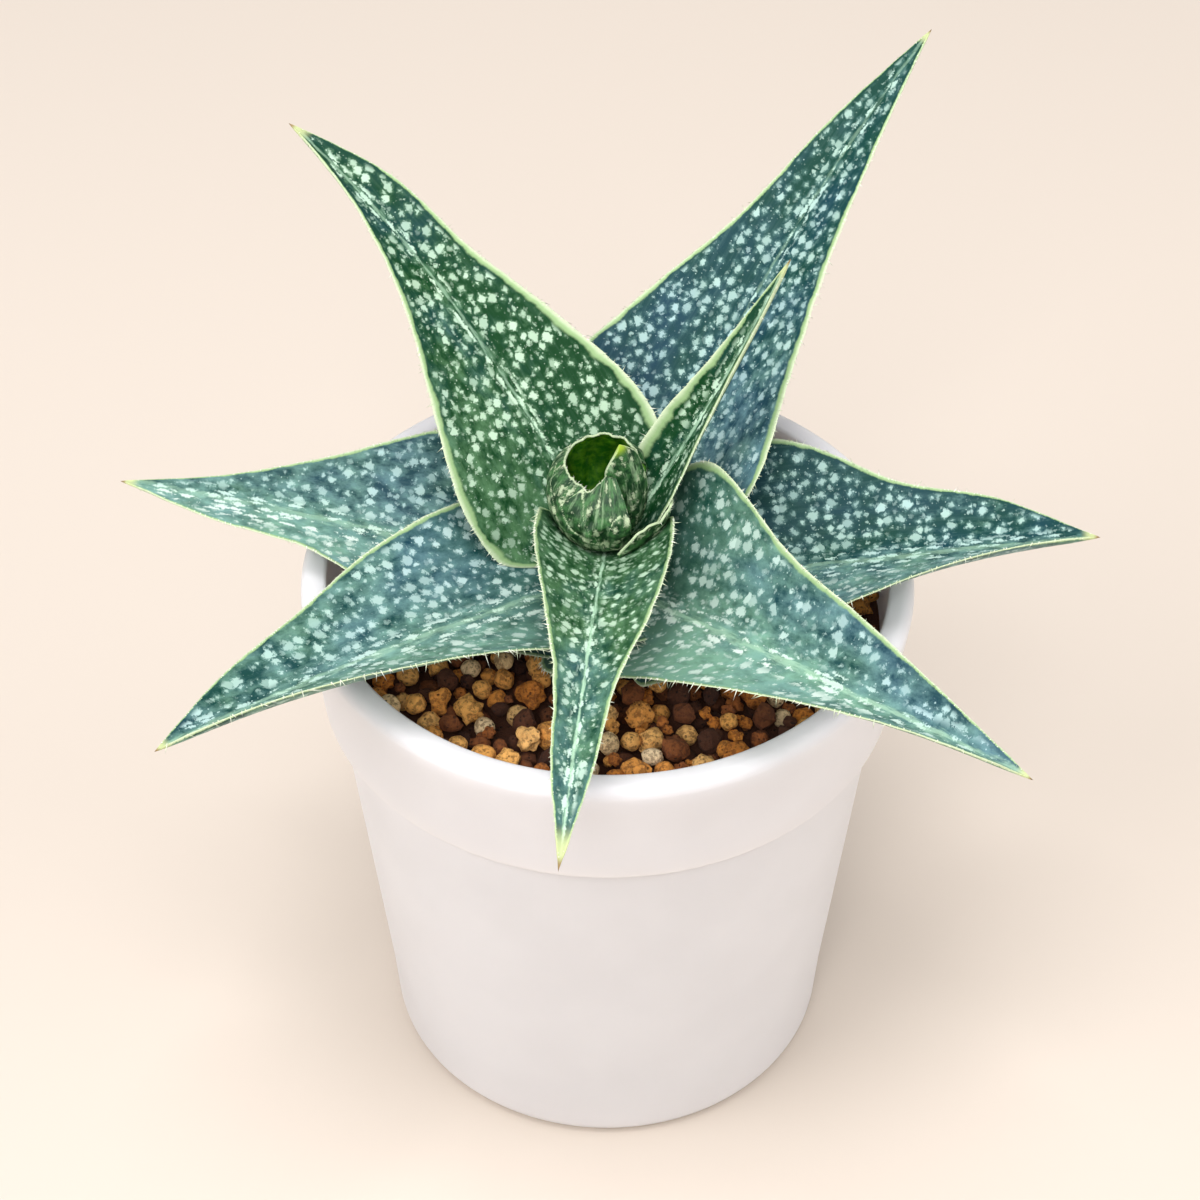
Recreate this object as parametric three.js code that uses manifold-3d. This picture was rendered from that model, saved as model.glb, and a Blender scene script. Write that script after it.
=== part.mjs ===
// A snowflake aloe in a plain white plastic pot.
// Millimetres, +Z up. The origin is the centre of the flat underside of the pot, +X is to the right
// and -Y is the front. Eight leaves sit round one short stem and a rolled young leaf stands on top.
import * as THREE from 'three';
import { mergeVertices } from 'three/addons/utils/BufferGeometryUtils.js';
import Module from 'manifold-3d';

const wasm = await Module();
wasm.setup();

// Clearance between pieces that touch, and the wider one that a slanted blade face needs.
const gap = 0.3;
const bladeGap = 0.4;

// Pot: a 9 cm plant pot with a collar and a rounded lip.
const potHeight = 90;
const potSides = 40;
const rimRadius = 45;
const rimInnerRadius = 41.2;
const lipOuterRounding = 1.8;
const lipInnerRounding = 0.6;
const collarHeight = 20;
const collarFootRadius = 42.9;
const collarBevel = 0.8;
const bodyTopRadius = 40.7;
const baseRadius = 34.2;
const baseEdgeRadius = 2.5;
const floorThickness = 3;
const wallThickness = 2;
const cavityFootRadius = 30.6;
const cavityBevelWidth = 2.2;
const cavityBevelHeight = 3;
const footRingInner = 29;
const centrePadRadius = 12;
const footRecess = 1.2;
const drainHoles = 6;
const drainHoleRadius = 4;
const drainRingRadius = 20.5;

// Growing medium and its grains, which lie in rows and are shifted a little at random.
const soilTop = 81.6;
const soilTopRadius = 40.5;
const grainSpacing = 6.1;
const grainRowSpacing = grainSpacing * Math.sin(Math.PI / 3);
const grainShift = 2.3;
const grainRadius = 3;
const grainRadiusShare = [0.82, 1.12];
const grainFlatness = [0.75, 1.05];
const grainSunk = 0.5;
const grainRise = 0.9;
const grainFieldRadius = 37.4;
const grainFreeRadius = 7.5;
const grainSeed = 41;

// Stem, from its hole in the soil up to the young leaves.
const stemRadius = 4.5;
const stemTopRadius = 3.2;
const stemFoot = 66;
const stemShoulder = 92;
const stemTop = 98.3;

// Leaves. The midrib leaves the stem at rootRadius, and a short part of the blade is tucked behind it.
const rootRadius = 3.5;
const rootTuck = 0.035;
const rootRounding = 0.06;
const channelPower = 1.6;
const edgeThickness = 0.9;
const bodyThickness = 3.2;
const tipTaperShare = 0.06;
const flattestChannel = 0.05;
const toothLength = 1.3;
const toothRadius = 0.4;
const toothSpacing = 5.2;
const toothRoot = 0.7;
const toothlessRoot = 0.08;
const toothedShare = 0.84;

// bearing: compass angle from +X. height: midrib at the stem. rise: slope at the root and at the tip.
// swing: how far the bearing turns along the leaf. twist: roll about the midrib at root and tip.
// channel: depth of the upper face against its half width, at root and tip.
// right and left: width of the blade on each side of the midrib, seen from the root, at the root and at
// each fifth of the length after it.
// rounding: share of the length over which the root's corners are rounded. body: thickness of the flesh.
// The list runs from the innermost leaf to the outermost, which is the order they overlap in.
const leaves = [
  {
    name: 'leaf_inner_narrow', bearing: 24, height: 97.2, length: 47.3, rise: [55, 62],
    swing: 6, twist: [14.5, 0.5], channel: [0.65, 0.5], body: 1.8,
    right: [6.2, 5.6, 3, 1.3, 0.7], left: [3.8, 4.7, 4.5, 3, 1.6], colour: 0x2f6b4c,
  },
  {
    name: 'leaf_front', bearing: 266.3, height: 97.5, length: 69.5, rise: [29, -20.5],
    swing: -3.2, twist: [-1, -6.5], channel: [0.6, 0.35], rounding: 0.04,
    right: [9.9, 9.8, 7.1, 4.1, 2.8], left: [9.5, 9.8, 8.2, 4.4, 2.8], colour: 0x3d7a5c,
  },
  {
    name: 'leaf_back_left', bearing: 129.8, height: 95, length: 74.4, rise: [46.8, 29.4],
    swing: 17.7, twist: [-20.5, 4], channel: [0.1, 0.35], rounding: 0.08,
    right: [13.7, 16.1, 12, 7.3, 5.3], left: [14.2, 16, 12.6, 7.2, 2.7], colour: 0x2c6345,
  },
  {
    name: 'leaf_front_left', bearing: 216.8, height: 89.8, length: 74, rise: [13.4, 2.5],
    swing: 0.6, twist: [-7, 24], channel: [0.25, 0.55],
    right: [16.1, 18, 15.5, 10.5, 6.2], left: [16.7, 18.1, 13.7, 10.7, 4.7], colour: 0x4a7f7a,
  },
  {
    name: 'leaf_front_right', bearing: 304.7, height: 88.7, length: 79, rise: [24.7, 0.2],
    swing: 20, twist: [30.5, -4], channel: [0.37, 0.68], rounding: 0.18,
    right: [20.9, 17.8, 13, 8, 3.1], left: [23.6, 19.3, 12.6, 8.6, 4.4], colour: 0x43767a,
  },
  {
    name: 'leaf_back_right', bearing: 59.2, height: 89.1, length: 91.3, rise: [38, 38.2],
    swing: -18.4, twist: [-5, 2.5], channel: [0.45, 0.08],
    right: [11.2, 18, 14, 8.8, 4.3], left: [14.9, 20.6, 15.2, 8.5, 4.8], colour: 0x36686e,
  },
  {
    name: 'leaf_left', bearing: 168.4, height: 86.6, length: 69.8, rise: [11, 10],
    swing: 8.6, twist: [-18.8, -0.5], channel: [0.45, 0.22],
    right: [16.2, 20, 16.2, 9.5, 3.8], left: [16.3, 18.4, 14.5, 7.8, 5.7], colour: 0x41736f,
  },
  {
    name: 'leaf_right', bearing: 0.2, height: 85.9, length: 69, rise: [11, 14.6],
    swing: -8.5, twist: [24.5, -20.5], channel: [0.44, 0.5],
    right: [18.5, 19.4, 17.2, 12.8, 6.8], left: [16.8, 19, 17.6, 11, 7.5], colour: 0x3f7274,
  },
];
const leafStations = [
  0.002, 0.012, 0.03, 0.06, 0.11, 0.17, 0.24, 0.32, 0.4, 0.48, 0.56, 0.64, 0.72, 0.8, 0.87, 0.93, 0.975,
];
const bladeColumns = [-1, -0.55, 0, 0.55, 1];

// Rolled young leaf: an urn-shaped wall that is open at its right side, where the second one stands.
const budFoot = 98.6;
const budHeight = 12;
const budWall = 1.2;
const budFirstAngle = 33;
const budLastAngle = 294;
const budBackLift = 1.0;
const budFrontDip = 1.3;
const budProfile = [
  [0, 3.4], [0.16, 5.8], [0.36, 7.7], [0.58, 8.5], [0.78, 8.1], [0.92, 6.9], [1, 5.8],
];
const budBore = 1.2;
const budTip = {
  name: 'bud_tip_leaf', bearing: 346, height: 100.6, length: 13.8, rise: [78, 114], root: 3,
  swing: 8, twist: [-48, -38], channel: [0.35, 0.3], body: 0.9,
  right: [2.3, 2.7, 2.6, 2.2, 1.4], left: [2.3, 2.7, 2.6, 2.2, 1.4], colour: 0x4d8a4c,
};

const radians = THREE.MathUtils.degToRad;
const lerp = THREE.MathUtils.lerp;

// Seeded random numbers, so that the grains and teeth fall the same way each time.
function seededRandom(seed) {
  let state = seed;
  return () => {
    state = (Math.imul(state, 1664525) + 1013904223) >>> 0;
    return state / 4294967296;
  };
}

// A closed solid from a closed geometry, turned the right way out.
function solidFrom(geometry) {
  const bare = geometry.clone();
  bare.deleteAttribute('normal');
  bare.deleteAttribute('uv');
  const merged = mergeVertices(bare, 1e-4);
  const points = merged.getAttribute('position');
  const index = merged.index.array;
  const corner = [new THREE.Vector3(), new THREE.Vector3(), new THREE.Vector3()];
  const triangles = [];
  let volume = 0;
  for (let i = 0; i < index.length; i += 3) {
    const [a, b, c] = [index[i], index[i + 1], index[i + 2]];
    if (a === b || b === c || c === a) continue;
    corner.forEach((point, k) => point.fromBufferAttribute(points, index[i + k]));
    volume += corner[0].dot(corner[1].cross(corner[2]));
    triangles.push([a, b, c]);
  }
  if (volume < 0) triangles.forEach((triangle) => triangle.reverse());
  return new wasm.Manifold(new wasm.Mesh({
    numProp: 3,
    vertProperties: new Float32Array(points.array),
    triVerts: new Uint32Array(triangles.flat()),
  }));
}

function geometryFrom(solid) {
  const mesh = solid.getMesh();
  const geometry = new THREE.BufferGeometry();
  geometry.setAttribute('position', new THREE.BufferAttribute(new Float32Array(mesh.vertProperties), 3));
  geometry.setIndex(new THREE.BufferAttribute(new Uint32Array(mesh.triVerts), 1));
  return geometry;
}

// The largest body of a solid, without the scraps that a cut leaves.
function mainBody(solid) {
  return solid.decompose().reduce((best, body) => (body.volume() > best.volume() ? body : best));
}

function fuse(solids) {
  return solids.reduce((whole, solid) => whole.add(solid));
}

// A solid turned about Z from [radius, height] points that start and end on the axis.
function turned(outline, sides) {
  const profile = outline.map(([radius, height]) => new THREE.Vector2(radius, height));
  return solidFrom(new THREE.LatheGeometry(profile, sides).rotateX(Math.PI / 2));
}

function cylinder(radius, from, to, sides) {
  return turned([[0, from], [radius, from], [radius, to], [0, to]], sides);
}

// A closed skin over rings of points, each with the same number of points.
// From point "half" on, the quads are split the other way, so both faces of a blade fold alike.
function loft(rings, half, tip) {
  const count = rings[0].length;
  const points = rings.flat();
  const faces = [];
  for (let ring = 0; ring < rings.length - 1; ring += 1) {
    for (let k = 0; k < count; k += 1) {
      const a = ring * count + k;
      const b = ring * count + ((k + 1) % count);
      const c = b + count;
      const d = a + count;
      if (k < half) faces.push([a, b, c], [a, c, d]);
      else faces.push([a, b, d], [b, c, d]);
    }
  }
  const middle = new THREE.Vector3();
  rings[0].forEach((point) => middle.addScaledVector(point, 1 / count));
  const first = points.push(middle) - 1;
  const last = points.push(tip) - 1;
  const end = (rings.length - 1) * count;
  for (let k = 0; k < count; k += 1) {
    const next = (k + 1) % count;
    faces.push([first, next, k], [last, end + k, end + next]);
  }
  const geometry = new THREE.BufferGeometry().setFromPoints(points);
  geometry.setIndex(faces.flat());
  return solidFrom(geometry);
}

// Direction of the midrib, and the blade's side and face directions, at a share of the leaf's length.
function leafAxes(leaf, share) {
  const rise = radians(lerp(leaf.rise[0], leaf.rise[1], share));
  const bearing = radians(leaf.bearing + leaf.swing * share);
  const roll = radians(lerp(leaf.twist[0], leaf.twist[1], share));
  const along = new THREE.Vector3(
    Math.cos(rise) * Math.cos(bearing),
    Math.cos(rise) * Math.sin(bearing),
    Math.sin(rise),
  );
  const level = new THREE.Vector3(-Math.sin(bearing), Math.cos(bearing), 0);
  const upright = new THREE.Vector3().crossVectors(along, level);
  const side = level.clone().multiplyScalar(Math.cos(roll)).addScaledVector(upright, Math.sin(roll));
  const face = upright.multiplyScalar(Math.cos(roll)).addScaledVector(level, -Math.sin(roll));
  return { along, side, face };
}

function midrib(leaf, share) {
  const steps = 60;
  const root = leaf.root ?? rootRadius;
  const bearing = radians(leaf.bearing);
  const point = new THREE.Vector3(root * Math.cos(bearing), root * Math.sin(bearing), leaf.height);
  for (let i = 0; i < steps; i += 1) {
    const { along } = leafAxes(leaf, (share * (i + 0.5)) / steps);
    point.addScaledVector(along, (leaf.length * share) / steps);
  }
  return point;
}

// Width on a smooth line through evenly spaced widths, which ends in a point at position 1.
function widthAt(widths, position) {
  const count = widths.length;
  const knots = [widths[0], ...widths, 0, -widths[count - 1]];
  const step = Math.min(count - 1, Math.floor(position * count));
  const t = position * count - step;
  const [a, b, c, d] = knots.slice(step, step + 4);
  return b + 0.5 * t * (c - a + t * (2 * a - 5 * b + 4 * c - d + t * (3 * (b - c) + d - a)));
}

// The blade at a position from 0 at the tucked root to 1 at the tip.
function bladeAt(leaf, position) {
  const share = position * (1 + rootTuck) - rootTuck;
  const inRoot = Math.min(1, position / (leaf.rounding ?? rootRounding));
  const rounded = Math.sqrt(1 - (1 - inRoot) ** 2);
  const right = rounded * widthAt(leaf.right, position);
  const left = rounded * widthAt(leaf.left, position);
  const channel = Math.max(flattestChannel, lerp(leaf.channel[0], leaf.channel[1], share));
  const thin = Math.min(1, Math.sqrt((1 - share) / tipTaperShare));
  const body = leaf.body ?? bodyThickness;
  return { ...leafAxes(leaf, share), middle: midrib(leaf, share), share, right, left, channel, thin, body };
}

// A point on the upper face, at column -1 on the right edge to 1 on the left edge.
function upperPoint(blade, column, grow) {
  const width = column < 0 ? blade.right : blade.left;
  const across = (width + grow) * column;
  const lift = width * blade.channel * Math.abs(column) ** channelPower + grow;
  return blade.middle.clone().addScaledVector(blade.side, across).addScaledVector(blade.face, lift);
}

function thicknessAt(blade, column) {
  const body = blade.body * (1 - blade.share) ** 0.6 * Math.sqrt(1 - column ** 2);
  return (edgeThickness + body) * blade.thin;
}

function bladeRing(blade, grow) {
  const upper = bladeColumns.map((column) => upperPoint(blade, column, grow));
  const lower = bladeColumns.map((column, k) => {
    const depth = thicknessAt(blade, column) + 2 * grow;
    return upper[k].clone().addScaledVector(blade.face, -depth);
  });
  return [...upper, ...lower.reverse()];
}

// Horny teeth along both margins, pointing outwards and a little forwards.
function marginTeeth(leaf, grow, random) {
  const teeth = [];
  const count = Math.floor((leaf.length * toothedShare) / toothSpacing);
  for (const edge of [-1, 1]) {
    for (let i = 0; i < count; i += 1) {
      const position = toothlessRoot + (toothedShare * (i + 0.3 + 0.4 * random())) / count;
      const length = toothLength * (0.8 + 0.4 * random()) * (1.1 - 0.35 * position);
      const blade = bladeAt(leaf, position);
      const slope = channelPower * blade.channel;
      const out = new THREE.Vector3().addScaledVector(blade.side, edge);
      out.addScaledVector(blade.face, slope).normalize().addScaledVector(blade.along, 0.35).normalize();
      const root = upperPoint(blade, edge, 0);
      root.addScaledVector(blade.face, -thicknessAt(blade, edge) / 2).addScaledVector(out, -toothRoot);
      const whole = length + toothRoot + 2 * grow;
      const cone = new THREE.ConeGeometry(toothRadius + grow, whole, 3);
      cone.applyQuaternion(new THREE.Quaternion().setFromUnitVectors(new THREE.Vector3(0, 1, 0), out));
      root.addScaledVector(out, whole / 2 - grow);
      teeth.push(solidFrom(cone.translate(root.x, root.y, root.z)));
    }
  }
  return fuse(teeth);
}

function leafBlade(leaf, grow) {
  const rings = leafStations.map((position) => bladeRing(bladeAt(leaf, position), grow));
  const tip = bladeAt(leaf, 1);
  return loft(rings, bladeColumns.length, tip.middle.addScaledVector(tip.along, grow));
}

function leafSolid(leaf, grow) {
  const seed = Math.round(leaf.bearing * 10);
  return leafBlade(leaf, grow).add(marginTeeth(leaf, grow, seededRandom(seed)));
}

// Points of a quarter circle round a centre, from one angle to another, in degrees.
function quarter(radius, height, rounding, from, to) {
  const steps = 4;
  return Array.from({ length: steps + 1 }, (_, step) => {
    const angle = radians(lerp(from, to, step / steps));
    return [radius + rounding * Math.cos(angle), height + rounding * Math.sin(angle)];
  });
}

function potOutline() {
  const collarFoot = potHeight - collarHeight;
  const lipOuterHeight = potHeight - lipOuterRounding;
  const lipInnerHeight = potHeight - lipInnerRounding;
  return [
    [0, 0], [centrePadRadius, 0], [centrePadRadius + footRecess, footRecess],
    [footRingInner - footRecess, footRecess], [footRingInner, 0],
    ...quarter(baseRadius - baseEdgeRadius, baseEdgeRadius, baseEdgeRadius, -90, 0),
    [bodyTopRadius, collarFoot], [collarFootRadius - collarBevel, collarFoot],
    [collarFootRadius, collarFoot + collarBevel],
    ...quarter(rimRadius - lipOuterRounding, lipOuterHeight, lipOuterRounding, 0, 90),
    ...quarter(rimInnerRadius + lipInnerRounding, lipInnerHeight, lipInnerRounding, 90, 180),
    [soilTopRadius + gap, soilTop],
    [bodyTopRadius - wallThickness, collarFoot - 1],
    [cavityFootRadius + cavityBevelWidth, floorThickness + cavityBevelHeight],
    [cavityFootRadius, floorThickness], [0, floorThickness],
  ];
}

function makePot() {
  let pot = turned(potOutline(), potSides);
  for (let i = 0; i < drainHoles; i += 1) {
    const angle = (2 * Math.PI * i) / drainHoles;
    const hole = cylinder(drainHoleRadius, -1, floorThickness + 1, 16);
    pot = pot.subtract(hole.translate([
      drainRingRadius * Math.cos(angle), drainRingRadius * Math.sin(angle), 0,
    ]));
  }
  return pot;
}

function grainAt(x, y, random) {
  const radius = grainRadius * lerp(...grainRadiusShare, random());
  const grain = new THREE.IcosahedronGeometry(radius, 0);
  grain.rotateX(2 * Math.PI * random()).rotateZ(2 * Math.PI * random());
  grain.scale(1, lerp(...grainFlatness, random()), lerp(...grainFlatness, random()));
  return solidFrom(grain.translate(x, y, soilTop - grainSunk + grainRise * random()));
}

function makeSoil(cuts) {
  const collarFoot = potHeight - collarHeight;
  let soil = turned([
    [0, floorThickness + gap],
    [cavityFootRadius - gap, floorThickness + gap],
    [cavityFootRadius + cavityBevelWidth - gap, floorThickness + cavityBevelHeight],
    [bodyTopRadius - wallThickness - gap, collarFoot - 1],
    [soilTopRadius, soilTop],
    [0, soilTop],
  ], potSides);
  const random = seededRandom(grainSeed);
  const rows = Math.ceil(grainFieldRadius / grainRowSpacing);
  const grains = [];
  for (let row = -rows; row <= rows; row += 1) {
    for (let column = -rows; column <= rows; column += 1) {
      const x = (column + 0.5 * (row & 1)) * grainSpacing + grainShift * (random() - 0.5);
      const y = row * grainRowSpacing + grainShift * (random() - 0.5);
      const reach = Math.hypot(x, y);
      if (reach > grainFieldRadius || reach < grainFreeRadius) continue;
      grains.push(grainAt(x, y, random));
    }
  }
  soil = soil.add(fuse(grains));
  soil = soil.subtract(cylinder(stemRadius + gap, stemFoot - gap, potHeight, 16));
  cuts.forEach((cut) => {
    soil = soil.subtract(cut);
  });
  return mainBody(soil);
}

function stemSolid(grow) {
  return turned([
    [0, stemFoot - grow], [stemRadius + grow, stemFoot - grow], [stemRadius + grow, stemShoulder],
    [stemTopRadius + grow, stemTop + grow], [0, stemTop + grow],
  ], 16);
}

// The rolled leaf's wall, from its first to its last angle, as rings of inner and outer points.
function budWallSolid() {
  const slices = 20;
  const rings = [];
  for (let slice = 0; slice <= slices; slice += 1) {
    const angle = radians(lerp(budFirstAngle, budLastAngle, slice / slices));
    const tilt = Math.sin(angle);
    const top = budHeight + (tilt > 0 ? budBackLift : budFrontDip) * tilt;
    const at = (radius, part) => new THREE.Vector3(
      radius * Math.cos(angle), radius * Math.sin(angle), budFoot + part * top,
    );
    const outer = budProfile.map(([part, radius]) => at(radius, part));
    const inner = budProfile.map(([part, radius]) => at(Math.max(budBore, radius - budWall), part));
    rings.push([...outer, ...inner.reverse()]);
  }
  const lastRing = rings[rings.length - 1];
  const middle = new THREE.Vector3();
  lastRing.forEach((point) => middle.addScaledVector(point, 1 / lastRing.length));
  return loft(rings, budProfile.length, middle);
}

// The whole space that the bud fills, which the leaves round it keep clear of.
function budEnvelope() {
  const outline = budProfile.map(([part, radius]) => [radius + bladeGap, budFoot + part * budHeight]);
  return turned([[0, budFoot - gap], ...outline, [0, budFoot + budHeight]], 24);
}

function meshOf(name, solid, colour, roughness) {
  const material = new THREE.MeshStandardMaterial({ color: colour, roughness, metalness: 0 });
  const mesh = new THREE.Mesh(geometryFrom(solid), material);
  mesh.name = name;
  return mesh;
}

const plant = new THREE.Group();
const stemSpace = stemSolid(gap);
const budSpace = budEnvelope();

plant.add(meshOf('bud_rolled_leaf', budWallSolid(), 0x4f8a55, 0.55));
plant.add(meshOf(budTip.name, leafBlade(budTip, 0), budTip.colour, 0.55));

const spaces = [leafBlade(budTip, bladeGap)];
for (const leaf of leaves) {
  let solid = leafSolid(leaf, 0).subtract(stemSpace).subtract(budSpace);
  spaces.forEach((space) => {
    solid = solid.subtract(space);
  });
  plant.add(meshOf(leaf.name, mainBody(solid), leaf.colour, 0.5));
  spaces.push(leafSolid(leaf, bladeGap));
}
plant.add(meshOf('stem', stemSolid(0), 0x9aa468, 0.8));

const potted = new THREE.Group();
potted.add(meshOf('pot', makePot(), 0xf1efec, 0.45));
potted.add(meshOf('soil', makeSoil(spaces), 0x5b3f2a, 0.95));
potted.add(plant);

export default potted;
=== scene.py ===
import functools
import math
import random

import bmesh
import bpy
from mathutils import Matrix, Vector, noise


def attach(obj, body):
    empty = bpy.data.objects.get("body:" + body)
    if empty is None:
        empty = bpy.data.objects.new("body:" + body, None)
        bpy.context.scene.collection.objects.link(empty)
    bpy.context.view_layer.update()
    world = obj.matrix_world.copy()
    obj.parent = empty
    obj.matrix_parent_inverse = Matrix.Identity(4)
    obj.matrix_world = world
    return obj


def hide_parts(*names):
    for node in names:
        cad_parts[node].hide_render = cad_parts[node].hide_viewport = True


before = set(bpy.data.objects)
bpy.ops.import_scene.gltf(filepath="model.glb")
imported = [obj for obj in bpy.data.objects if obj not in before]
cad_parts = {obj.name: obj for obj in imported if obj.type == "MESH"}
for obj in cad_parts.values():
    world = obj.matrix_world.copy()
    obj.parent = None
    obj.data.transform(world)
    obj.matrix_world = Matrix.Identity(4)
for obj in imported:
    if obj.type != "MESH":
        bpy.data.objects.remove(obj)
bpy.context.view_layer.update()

# Sizes are in millimetres, as in the frame's source, and are turned to metres where a mesh is made.
mm = 0.001
bodyName = "root"


# Small helpers

def selectOnly(*pieces):
    bpy.ops.object.select_all(action="DESELECT")
    for piece in pieces:
        piece.select_set(True)
        bpy.context.view_layer.objects.active = piece


def editAll(piece):
    selectOnly(piece)
    bpy.ops.object.mode_set(mode="EDIT")
    bpy.ops.mesh.select_all(action="SELECT")


def leaveEdit():
    bpy.ops.object.mode_set(mode="OBJECT")


# Adds a primitive with nothing else selected, and puts its place into its mesh.
def add(primitive, **settings):
    bpy.ops.object.select_all(action="DESELECT")
    primitive(**settings)
    bpy.ops.object.transform_apply(location=True, rotation=True, scale=True)
    return bpy.context.object


def pointOutwards(piece):
    editAll(piece)
    bpy.ops.mesh.normals_make_consistent(inside=False)
    leaveEdit()


def smooth(piece, angle=180):
    selectOnly(piece)
    if angle < 180:
        bpy.ops.object.shade_smooth_by_angle(angle=math.radians(angle))
    else:
        bpy.ops.object.shade_smooth()


def applyModifiers(piece):
    selectOnly(piece)
    for modifier in list(piece.modifiers):
        bpy.ops.object.modifier_apply(modifier=modifier.name)


# Drills upright round holes. The spots are the middles of the drills.
def drillHoles(piece, spots, radius, depth):
    drills = []
    for spot in spots:
        bpy.ops.mesh.primitive_cylinder_add(vertices=32, radius=radius * mm, depth=depth * mm,
                                            location=spot * mm)
        drills.append(bpy.context.object)
    for drill in drills:
        cut = piece.modifiers.new("hole", "BOOLEAN")
        cut.operation = "DIFFERENCE"
        cut.object = drill
    applyModifiers(piece)
    selectOnly(*drills)
    bpy.ops.object.delete()


# A disc drawn up through (radius, height) points, as on a lathe.
def turned(section, sides):
    radius, height = section[0]
    piece = add(bpy.ops.mesh.primitive_circle_add, vertices=sides, radius=radius * mm, fill_type="NGON",
                location=(0, 0, height * mm))
    editAll(piece)
    for nextRadius, nextHeight in section[1:]:
        rise = (0, 0, (nextHeight - height) * mm)
        bpy.ops.mesh.extrude_region_move(TRANSFORM_OT_translate={"value": rise})
        grow = nextRadius / radius
        bpy.ops.transform.resize(value=(grow, grow, 1), center_override=(0, 0, 0))
        radius, height = nextRadius, nextHeight
    leaveEdit()
    pointOutwards(piece)
    return piece


def setAttribute(mesh, name, kind, values):
    field = "value" if kind == "FLOAT" else "vector"
    mesh.attributes.new(name, kind, "POINT").data.foreach_set(field, values)


def finishPiece(piece, name, materials, replaced=()):
    piece.name = piece.data.name = name
    for material in materials:
        piece.data.materials.append(material)
    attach(piece, bodyName)
    if replaced:
        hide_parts(*replaced)
    print("made", name, len(piece.data.polygons), "faces")


def between(ends, share):
    return ends[0] + (ends[1] - ends[0]) * share


# A point round the upright axis, at an angle in degrees.
def around(radius, angle, height=0.0):
    angle = math.radians(angle)
    return Vector((radius * math.cos(angle), radius * math.sin(angle), height))


def wobble(x, y, z=0.0):
    return noise.noise(Vector((x, y, z)))


# Many placed copies of modelled shapes in one mesh, with a value for each copy in an attribute.
def gather(name, copies, attribute=None):
    whole = bmesh.new()
    values = []
    for pattern, place, value in copies:
        one = pattern.copy()
        one.transform(place)
        whole.from_mesh(one)
        bpy.data.meshes.remove(one)
        values += [value] * len(pattern.vertices)
    mesh = bpy.data.meshes.new(name)
    whole.to_mesh(mesh)
    whole.free()
    if attribute:
        setAttribute(mesh, attribute, "FLOAT", values)
    piece = bpy.data.objects.new(name, mesh)
    bpy.context.scene.collection.objects.link(piece)
    return piece


# Materials

def colour(hexText):
    parts = [int(hexText[k:k + 2], 16) / 255 for k in (1, 3, 5)]
    return [c / 12.92 if c <= 0.04045 else ((c + 0.055) / 1.055) ** 2.4 for c in parts] + [1]


mix = dict(data_type="RGBA")
soft = dict(interpolation_type="SMOOTHSTEP")
plus, minus, times = dict(operation="ADD"), dict(operation="SUBTRACT"), dict(operation="MULTIPLY")
timesPlus, larger = dict(operation="MULTIPLY_ADD"), dict(operation="MAXIMUM")


# Adds a node with its settings and with values, hex colours or links at its inputs, and gives an output.
def addNode(material, kind, inputs, output=0, **settings):
    node = material.node_tree.nodes.new("ShaderNode" + kind)
    for name, value in settings.items():
        setattr(node, name, value)
    setInputs(material, node, inputs)
    return node.outputs if output is None else node.outputs[output]


def setInputs(material, node, inputs):
    for socket, value in inputs.items():
        if isinstance(value, bpy.types.NodeSocket):
            material.node_tree.links.new(value, node.inputs[socket])
        else:
            node.inputs[socket].default_value = colour(value) if isinstance(value, str) else value


def newMaterial(name):
    material = bpy.data.materials.new(name)
    material.use_nodes = True
    return material, material.node_tree.nodes["Principled BSDF"], functools.partial(addNode, material)


# Spots scattered over a leaf: cells of "spacing" mm, each with one spot of its own radius or none.
# Gives how far inside a spot a point lies, in mm, and a random value for the spot.
def spotLayer(node, vector, spacing, radii, grain, scatter=1.0):
    cells = {"Vector": vector, "Scale": 1 / spacing, "Randomness": scatter, "Exponent": 1.5}
    cells = node("TexVoronoi", cells, None, voronoi_dimensions="2D", distance="MINKOWSKI")
    draw = node("SeparateColor", {0: cells["Color"]}, None)
    radius = node("MapRange", {0: draw[0], 3: radii[0], 4: radii[1]})
    away = node("Math", {0: cells["Distance"], 1: spacing, 2: grain}, **timesPlus)
    return node("Math", {0: radius, 1: away}, **minus), draw[1]


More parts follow.
